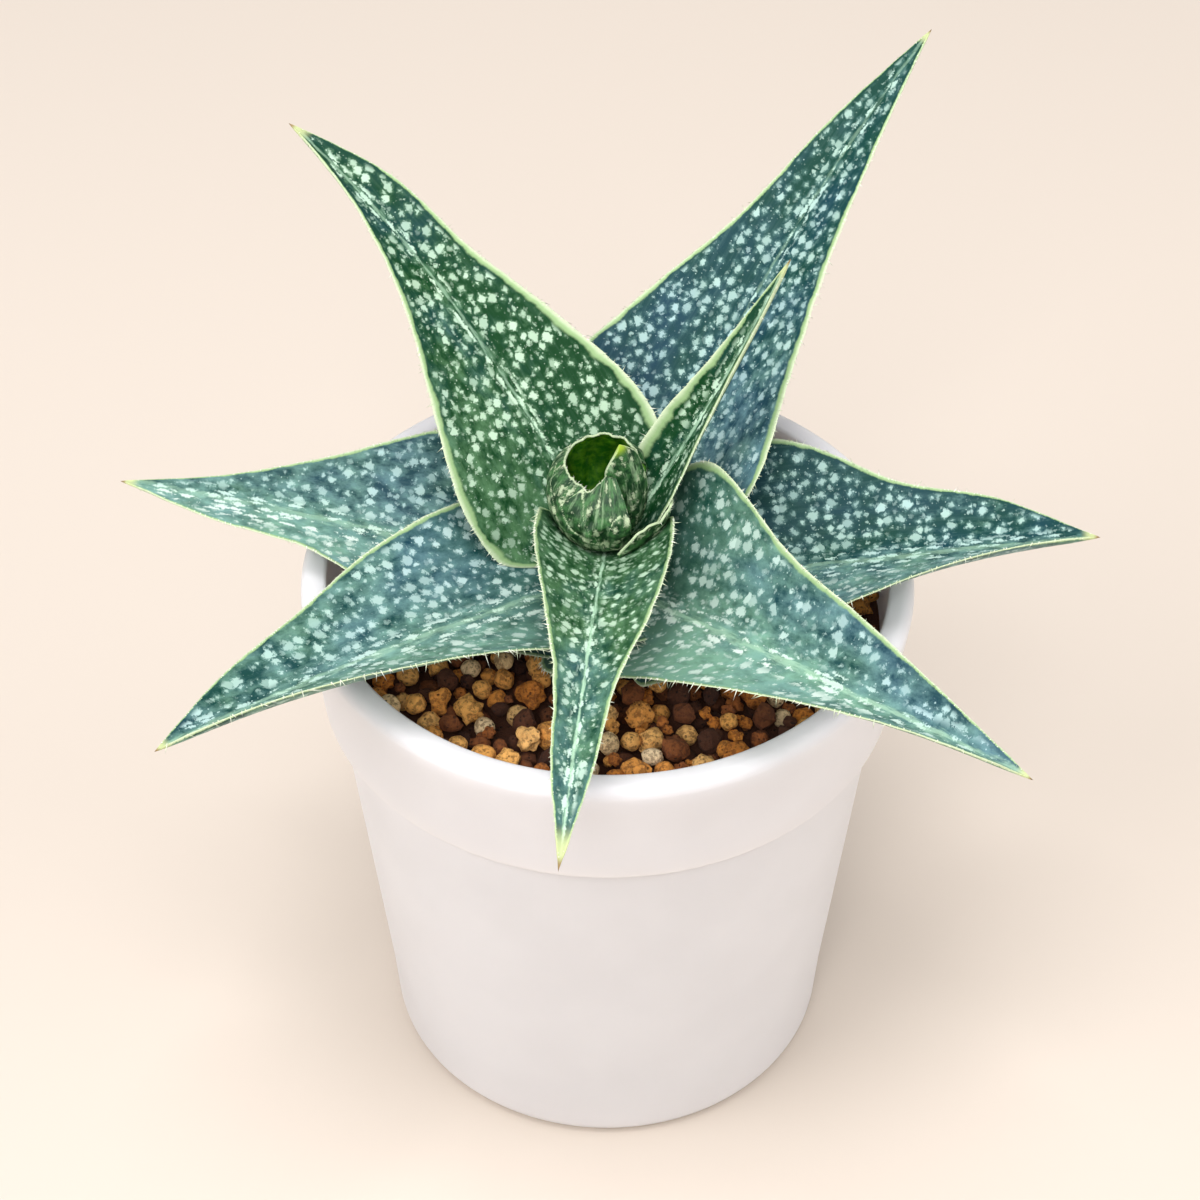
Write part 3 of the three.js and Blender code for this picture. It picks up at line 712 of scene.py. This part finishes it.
def makeBlade(leaf, order):
    grid = dict(segments=blade["columns"], ring_count=blade["stations"])
    piece = add(bpy.ops.mesh.primitive_uv_sphere_add, **grid)
    sections = {}
    places, shapes, tones, margins = [], [], [], []
    for vertex in piece.data.vertices:
        x, y, z = vertex.co
        station = round(math.acos(max(-1, min(1, -z))) / math.pi * blade["stations"])
        if station not in sections:
            sections[station] = leafSection(leaf, station / blade["stations"])
        section = sections[station]
        share = section["share"]
        reach = share * leaf["length"]
        flat = math.hypot(x, y)
        column = x / flat if flat > 1e-6 else 0
        half = 0 if column < 0 else 1
        under = y < -1e-6
        ruffle = sum(size * wobble(reach / length, order * 9 + 3 * k + 2 * half)
                     for k, (size, length) in enumerate(blade["ruffle"]))
        outwards = section["side"] * (2 * half - 1) * abs(column) ** blade["rufflePower"]
        vertex.co = (skinPoint(section, column, under) + outwards * ruffle * section["thin"]) * mm
        width = (section["right"], section["left"])[half]
        scale = leaf["scale"]
        wide = scale * leaf["stretch"][half]
        places += [width * column / wide + blade["apart"] * order, reach / scale, 1.0 if under else 0.0]
        shapes += [width * abs(column) / leaf["ribZone"][half], width * (1 - abs(column)),
                   (leaf["length"] - reach) / leaf["point"]]
        # the light value paints light and shade into the skin as well as its own tone
        tones += [leaf["rib"], toneAndLightAt(leaf["bloom"], share, column), toneAndLightAt(leaf["light"], share, column)]
        margin = blade["margin"] + leaf["horn"][half] * max(0, 1 - share / blade["hornReach"])
        margin *= min(1, blade["tipMargin"] + blade["marginTaper"] * (1 - share))
        margins.append(margin * (blade["underMargin"] if under else 1))
    for name, values in (("bladePlace", places), ("bladeShape", shapes), ("bladeToneAndLight", tones)):
        setAttribute(piece.data, name, "FLOAT_VECTOR", values)
    setAttribute(piece.data, "bladeMargin", "FLOAT", margins)
    pointOutwards(piece)
    smooth(piece)
    return piece


# A horny tooth of the margin, a cone of one unit before it is sized.
def toothPattern():
    tooth = add(bpy.ops.mesh.primitive_cone_add, vertices=5, radius2=0, depth=1, location=(0, 0, 0.5))
    smooth(tooth)
    mesh = tooth.data
    bpy.data.objects.remove(tooth)
    return mesh


toothMesh = toothPattern()
# covered: share of the edge. span: positions of the first and the last tooth. sizes: small to large.
# taper: length at root and tip. lean: towards the root or the tip. tilt: down or up. slump: hanging.
teeth = dict(
    spacing=0.7, covered=0.95, span=(0.05, 0.98), length=(0.4, 1.5), sizes=(0.5, 0.8, 1.4),
    taper=(1.3, 0.4), radius=(0.07, 0.12), sunk=0.3, lean=(-0.6, 0.9), tilt=(-0.5, 0.5),
    slump=1.0, seed=5,
)


# One tooth on its root, with its foot sunk into the leaf.
def standTooth(root, out, long, thick, sunk):
    turn = out.to_track_quat("Z", "Y").to_matrix().to_4x4()
    size = Matrix.Diagonal((thick * mm, thick * mm, long * mm, 1))
    return toothMesh, Matrix.Translation((root - out.normalized() * sunk) * mm) @ turn @ size, 0.0


def makeTeeth(name, leaf, order):
    draw = random.Random(teeth["seed"] + order)
    copies = []
    count = int(leaf["length"] * teeth["covered"] / teeth["spacing"])
    for half, edge in enumerate((-1, 1)):
        for k in range(count):
            position = between(teeth["span"], (k + draw.random()) / count)
            section = leafSection(leaf, position)
            slope = blade["channelPower"] * section["channel"]
            out = (section["side"] * edge + section["face"] * slope * 0.5).normalized()
            lean = section["along"] * draw.uniform(*teeth["lean"])
            lean += section["face"] * draw.uniform(*teeth["tilt"])
            lean.z -= teeth["slump"] * draw.random()
            out = (out + lean).normalized()
            long = leaf["hair"][half] * draw.uniform(*teeth["length"]) * between(teeth["taper"], position)
            long = long * draw.choice(teeth["sizes"]) + teeth["sunk"]
            root = skinPoint(section, edge, False)
            copies.append(standTooth(root, out, long, draw.uniform(*teeth["radius"]), teeth["sunk"]))
    return gather(name, copies)


# Horny teeth: pale and waxy.
def toothMaterial():
    material, shader, node = newMaterial("horny leaf tooth")
    place = node("TexCoord", {}, "Object")
    clouds = node("TexNoise", {"Vector": place, "Scale": 1 / (3 * mm)})
    share = node("MapRange", {0: clouds, 1: 0.35, 2: 0.65}, **soft)
    skin = node("Mix", {0: share, 6: "#eef0e0", 7: "#d0dcb6"}, 2, **mix)
    setInputs(material, shader, {"Base Color": skin, "Roughness": 0.45})
    return material


greenTones = dict(
    green="#093c19", greenLight="#618c61", blue="#143d40", blueLight="#618c89",
    vein="#739e85", under="#74a279", halo=0.24, contrast=2.6, rootShade=0.0,
    bigFlecks=(0.02, 0.86), smallFlecks=(-0.3, 0.46),
    fleckGreen="#bedabc", fleckBlue="#b0cfc0", fleckLight="#d8e9dc", ribLine="#b4dab8",
    edge="#ccdab4", edgeInner="#95b47e", tip="#c6cf94", spine="#8b6a42",
)
blueTones = dict(greenTones, green="#103f34", greenLight="#80ad94", blue="#193f4e", blueLight="#70989f",
                 vein="#7fa89f", under="#7aa89f", rootShade=0.7, fleckGreen="#accbbb", fleckBlue="#aac8ca")
leafPaint = {
    "green": leafMaterial("aloe leaf, green and waxy", greenTones),
    "blue": leafMaterial("aloe leaf, blue-green bloom", blueTones),
}
horn = toothMaterial()
for order, (name, changes) in enumerate(leaves.items()):
    leaf = plainLeaf | changes
    tone = leaf["tone"]
    finishPiece(makeBlade(leaf, order), name + "_blade", [leafPaint[tone]], [name])
    spines = makeTeeth(name + "_teeth", leaf, order)
    finishPiece(spines, name + "_teeth", [horn])


# Young leaves in the heart of the plant

bud = dict(
    foot=98.0, wall=0.3, firstAngle=33, lastAngle=294, slices=230, rows=70,
    profile=[(0, 4.4), (0.14, 6.5), (0.35, 7.9), (0.58, 8.5), (0.78, 8.1), (0.92, 6.9), (1, 5.8)],
    # the rim: angle, radius, height. It dips to a notch at the front and leans in at the front right.
    rim=[
        (33, 5.9, 108.4), (48, 5.7, 110.6), (65, 5.4, 111.4), (99, 5.9, 111.6), (128, 6.3, 111.4),
        (150, 6.7, 110.9), (175, 6.4, 110.7), (200, 6.0, 110.6), (215, 5.7, 109.7), (230, 5.2, 108.9),
        (239, 4.7, 108.8), (249, 3.6, 109.5), (265, 2.6, 110.5), (294, 1.7, 111.1),
    ],
    # edges of the wraps that lap over the wall from the left: angle, height
    laps=[
        [(120, 98), (135, 106), (150, 111.2), (185, 111.6), (204, 110.9), (214, 107.8), (227, 104.9),
         (243, 103.2), (263, 102.0), (285, 100.0)],
        [(150, 98), (160, 106), (172, 109.6), (196, 107.4), (212, 104.6), (232, 102.6), (252, 99.0)],
        [(205, 98), (214, 106), (224, 108.7), (234, 108.0), (244, 106.0), (256, 103.5), (268, 100.6)],
        [(262, 98), (270, 104.6), (280, 106.8), (294, 105.6)],
    ],
    # tuck: how far the wall's right end goes in behind the narrow leaf, from this angle
    lapStep=0.4, lapSlope=0.25, tuck=1.6, tuckAngle=63, leanFrom=0.55, frontFrom=225,
    ruffle=(0.22, 0.1), lapRuffle=0.2, wrinkles=(0.5, 0.3), ribs=0.16, bulge=0.35,
)
budTip = dict(
    bearing=341, height=100.6, length=14.6, rise=(78, 114), root=3.0, swing=8,
    twist=(-48, -38), channel=(0.35, 0.3), body=0.9,
    right=[2.8, 3.6, 3.7, 3.5, 3.1], left=[2.6, 3.1, 3.0, 2.7, 2.2],
    rib=0.2, bloom=((0, 0), (0, 0)), light=((0.5, 0.5), (0.5, 0.5)), horn=(0, 0), point=2.2,
)
# The foot of the narrow inner leaf wraps round the bud's front right. rim: angle, height
sheath = dict(
    foot=99.2, footRadius=8.3, rimRadius=9.4, wall=0.35, ruffle=0.2,
    slices=110, rows=26,
    rim=[(-80, 101.2), (-73, 102.6), (-64, 104.0), (-50, 104.9), (-32, 104.4), (-16, 104.8), (2, 104.9),
            (24, 103.0)],
)


# Height, or another value, on a smooth line through a list of points.
def lineAt(points, x, item=1):
    if x <= points[0][0]:
        return points[0][item]
    if x >= points[-1][0]:
        return points[-1][item]
    k = max(i for i in range(len(points) - 1) if points[i][0] <= x)
    here, there = points[k], points[k + 1]
    before, after = points[max(0, k - 1)], points[min(len(points) - 1, k + 2)]
    span = there[0] - here[0]
    t = (x - here[0]) / span
    slopeHere = (there[item] - before[item]) / (there[0] - before[0]) * span
    slopeThere = (after[item] - here[item]) / (after[0] - here[0]) * span
    return ((2 * t ** 3 - 3 * t ** 2 + 1) * here[item] + (t ** 3 - 2 * t ** 2 + t) * slopeHere
            + (3 * t ** 2 - 2 * t ** 3) * there[item] + (t ** 3 - t ** 2) * slopeThere)


def eased(value):
    value = min(1, max(0, value))
    return value * value * (3 - 2 * value)


# A grid bent into a wall: place(across, up) gives a point and the pattern values there. The first material
# is for its outside and the second for its inside.
def bentWall(slices, rows, thickness, place, materials):
    piece = add(bpy.ops.mesh.primitive_grid_add, x_subdivisions=slices, y_subdivisions=rows, size=2)
    mesh = piece.data
    places, shapes = [], []
    for vertex in mesh.vertices:
        point, pattern, shape = place((vertex.co.x + 1) / 2, (vertex.co.y + 1) / 2)
        vertex.co = point * mm
        places += pattern
        shapes += shape
    setAttribute(mesh, "bladePlace", "FLOAT_VECTOR", places)
    setAttribute(mesh, "bladeShape", "FLOAT_VECTOR", shapes)
    for material in materials:
        mesh.materials.append(material)
    wall = piece.modifiers.new("wall", "SOLIDIFY")
    wall.thickness = thickness * mm
    wall.offset = -1
    wall.material_offset = 1
    applyModifiers(piece)
    smooth(piece)
    return piece


def budWallPoint(across, up):
    degrees = between((bud["firstAngle"], bud["lastAngle"]), across)
    rimRadius, rimHeight = lineAt(bud["rim"], degrees, 1), lineAt(bud["rim"], degrees, 2)
    rimHeight += bud["ruffle"][0] * wobble(degrees / 14, 2.2) + bud["ruffle"][1] * wobble(degrees / 4, 8.2)
    height = between((bud["foot"], rimHeight), up)
    lean = eased((up - bud["leanFrom"]) / (1 - bud["leanFrom"]))
    radius = lineAt(bud["profile"], up) - (bud["profile"][-1][1] - rimRadius) * lean
    edgeAway = (1 - up) * (rimHeight - bud["foot"])
    layers = 0
    for lap in bud["laps"]:
        over = lineAt(lap, degrees) + bud["lapRuffle"] * wobble(degrees / 9, 4.4) - height
        layers += eased(over / bud["lapSlope"])
        if over > -0.1:
            edgeAway = min(edgeAway, abs(over))
    offFoot = min(1, up * 4)
    radius += bud["lapStep"] * (layers - 1) * offFoot
    # wrinkled at the front, ribbed lengthwise elsewhere
    front = eased((degrees - bud["frontFrom"]) / 30)
    wrinkle = bud["wrinkles"][0] * wobble(degrees / 13, height / 2.2, 1.0)
    wrinkle += bud["wrinkles"][1] * wobble(degrees / 6, height / 1.4, 7.0)
    rib = bud["ribs"] * math.sin(degrees / 4.4 + height * 0.5 + 2 * wobble(degrees / 20, height / 5, 3.0))
    radius += (wrinkle * between((0.25, 1.0), front) + rib * between((1.0, 0.4), front)) * offFoot
    radius = min(radius, lineAt(bud["profile"], up) + bud["bulge"])
    radius -= bud["tuck"] * eased((bud["tuckAngle"] - degrees) / 30) * (1 - lean)
    return around(radius, degrees, height), [degrees * 0.13, height, 0], [0, edgeAway, rimHeight - height]


def sheathPoint(across, up):
    degrees = between((sheath["rim"][0][0], sheath["rim"][-1][0]), across)
    rimHeight = lineAt(sheath["rim"], degrees) + sheath["ruffle"] * wobble(degrees / 8, 6.6)
    height = between((sheath["foot"], rimHeight), up)
    radius = between((sheath["footRadius"], sheath["rimRadius"]), up ** 0.8)
    radius += sheath["ruffle"] * math.sin(up * 13 + 2 * wobble(degrees / 25, up * 2)) * up
    radius += sheath["ruffle"] * wobble(degrees / 9, height / 1.5, 5.0)
    fromRim = rimHeight - height
    return around(radius, degrees, height), [height + 30, degrees * 0.15, 0], [0, fromRim, fromRim]


# Young leaf tissue: soft green with pale ribs and flecks, paler at its edges.
def youngMaterial(name, tones):
    material, shader, node = newMaterial(name)
    place = node("Attribute", {}, "Vector", attribute_name="bladePlace")
    shape = node("Attribute", {}, "Vector", attribute_name="bladeShape")
    _, fromEdge, fromRim = node("SeparateXYZ", {0: shape}, None)
    clouds = node("TexNoise", {"Vector": place, "Scale": 1 / 1.6, "Detail": 5, "Roughness": 0.7})
    lightShare = node("MapRange", {0: clouds, 1: 0.4, 2: 0.66}, **soft)
    ground = node("Mix", {0: lightShare, 6: tones["deep"], 7: tones["light"]}, 2, **mix)
    drawn = node("VectorMath", {0: place, 1: (1, 0.22, 1)}, **times)
    streaks = node("TexNoise", {"Vector": drawn, "Scale": 1 / 0.75, "Detail": 4, "Roughness": 0.7})
    streakShade = node("MapRange", {0: streaks, 1: 0.48, 2: 0.7, 4: tones["streaks"]}, **soft)
    skin = node("Mix", {0: streakShade, 6: ground, 7: tones["rib"]}, 2, **mix)
    crumb = node("TexNoise", {"Vector": place, "Scale": 1 / 0.42, "Detail": 3, "Roughness": 0.75})
    grain = node("Math", {0: crumb, 1: 0.5}, **minus)
    grain = node("Math", {0: grain, 1: 1.8}, **times)
    oval = node("VectorMath", {0: place, 1: (1, 0.7, 1)}, **times)
    fleck, _ = spotLayer(node, oval, 1.35, (0.0, 0.6), grain)
    flecks = node("MapRange", {0: fleck, 1: -0.08, 2: 0.25, 4: tones["flecks"]}, **soft)
    skin = node("Mix", {0: flecks, 6: skin, 7: tones["fleck"]}, 2, **mix)
    ragged = node("Math", {0: grain, 1: 0.25, 2: fromEdge}, **timesPlus)
    edge = node("MapRange", {0: ragged, 1: 0.2, 2: 0.06, 4: tones["edgeShow"]}, **soft)
    skin = node("Mix", {0: edge, 6: skin, 7: tones["edge"]}, 2, **mix)
    # fade: inside the roll it is painted shade, darker deeper below the rim; on the tongue it is the tip's
    # own yellow
    fading = {1: tones["fadeFrom"], 2: tones["fadeTo"], 4: tones["fade"]}
    fading = node("MapRange", {0: fromRim, **fading}, **soft)
    skin = node("Mix", {0: fading, 6: skin, 7: tones["fadeTone"]}, 2, **mix)
    height = node("Math", {0: streakShade, 1: flecks}, **plus)
    bump = node("Bump", {"Height": height, "Distance": 0.2 * mm, "Strength": 0.7})
    setInputs(material, shader, {"Base Color": skin, "Roughness": 0.45, "Normal": bump,
                                 "Specular IOR Level": 0.3})
    return material


outerTones = dict(
    deep="#0c3416", light="#447440", rib="#a9c69a", streaks=0.6, fleck="#cbdab2",
    flecks=0.75, edge="#cfe0b4", edgeShow=0.75,
    fade=0, fadeFrom=0.8, fadeTo=5.0, fadeTone="#0d4402",
)
# inside of the roll: lime greens, partly the young leaf's own colour and partly painted light in the
# shaded hollow; its fade paints shade deeper below the rim
innerTones = dict(outerTones, deep="#1f7a06", light="#8cd02a", streaks=0.1, flecks=0.0, edgeShow=0.4,
                  fade=0.7)
tipTones = dict(outerTones, fade=0.85, fadeFrom=0.85, fadeTo=0.05, fadeTone="#a8c428")
young = youngMaterial("young aloe leaf", outerTones)
inside = youngMaterial("young aloe leaf, inside of the roll", innerTones)
budWall = bentWall(bud["slices"], bud["rows"], bud["wall"], budWallPoint, [young, inside])
finishPiece(budWall, "bud_rolled_wall", [], ["bud_rolled_leaf"])
tongue = makeBlade(plainLeaf | budTip, len(leaves) + 1)
youngTip = youngMaterial("young aloe leaf, yellow at its tip", tipTones)
finishPiece(tongue, "bud_tip_blade", [youngTip], ["bud_tip_leaf"])
foot = bentWall(sheath["slices"], sheath["rows"], sheath["wall"], sheathPoint, [young, young])
finishPiece(foot, "leaf_inner_narrow_foot", [])


# Fine hairs that stand along the rim of the roll and of the foot round it
rimHairs = dict(count=110, length=(0.25, 0.8), radius=(0.03, 0.06), sunk=0.1, seed=23)


def makeRimHairs():
    draw = random.Random(rimHairs["seed"])
    copies = []
    for _ in range(rimHairs["count"]):
        wall = draw.choice((budWallPoint, budWallPoint, sheathPoint))
        across = draw.uniform(0.01, 0.99)
        root = wall(across, 1.0)[0]
        out = root - wall(across, 0.9)[0]
        out = out.normalized() + Vector([draw.uniform(-0.9, 0.9) for _ in range(3)])
        long = draw.uniform(*rimHairs["length"])
        copies.append(standTooth(root, out, long, draw.uniform(*rimHairs["radius"]), rimHairs["sunk"]))
    return gather("bud_hairs", copies)


finishPiece(makeRimHairs(), "bud_hairs", [horn])


# Stem: short and corky, with the scars of old leaves

stem = dict(
    foot=66, radius=4.5, shoulder=92, top=98.3, topRadius=3.2, rings=22, groove=0.25,
    sides=48,
)


def makeStem():
    section = [(stem["radius"], stem["foot"])]
    for k in range(1, stem["rings"] + 1):
        height = between((stem["foot"], stem["top"]), k / stem["rings"])
        narrowing = max(0, height - stem["shoulder"]) / (stem["top"] - stem["shoulder"])
        radius = between((stem["radius"], stem["topRadius"]), narrowing)
        section.append((radius - (stem["groove"] if k % 2 else 0), height))
    piece = turned(section, stem["sides"])
    smooth(piece, 50)
    return piece


# Corky stem skin: dull straw-brown with green showing through.
def corkMaterial():
    material, shader, node = newMaterial("corky stem")
    place = node("TexCoord", {}, "Object")
    flat = node("VectorMath", {0: place, 1: (1, 1, 2.5)}, **times)
    rough = node("TexNoise", {"Vector": flat, "Scale": 1 / (2.2 * mm), "Detail": 4, "Roughness": 0.65})
    share = node("MapRange", {0: rough, 1: 0.35, 2: 0.65}, **soft)
    skin = node("Mix", {0: share, 6: "#48602f", 7: "#8f8a5a"}, 2, **mix)
    bump = node("Bump", {"Height": rough, "Distance": 0.3 * mm, "Strength": 0.8})
    setInputs(material, shader, {"Base Color": skin, "Roughness": 0.85, "Normal": bump})
    return material


finishPiece(makeStem(), "stem_scarred", [corkMaterial()], ["stem"])
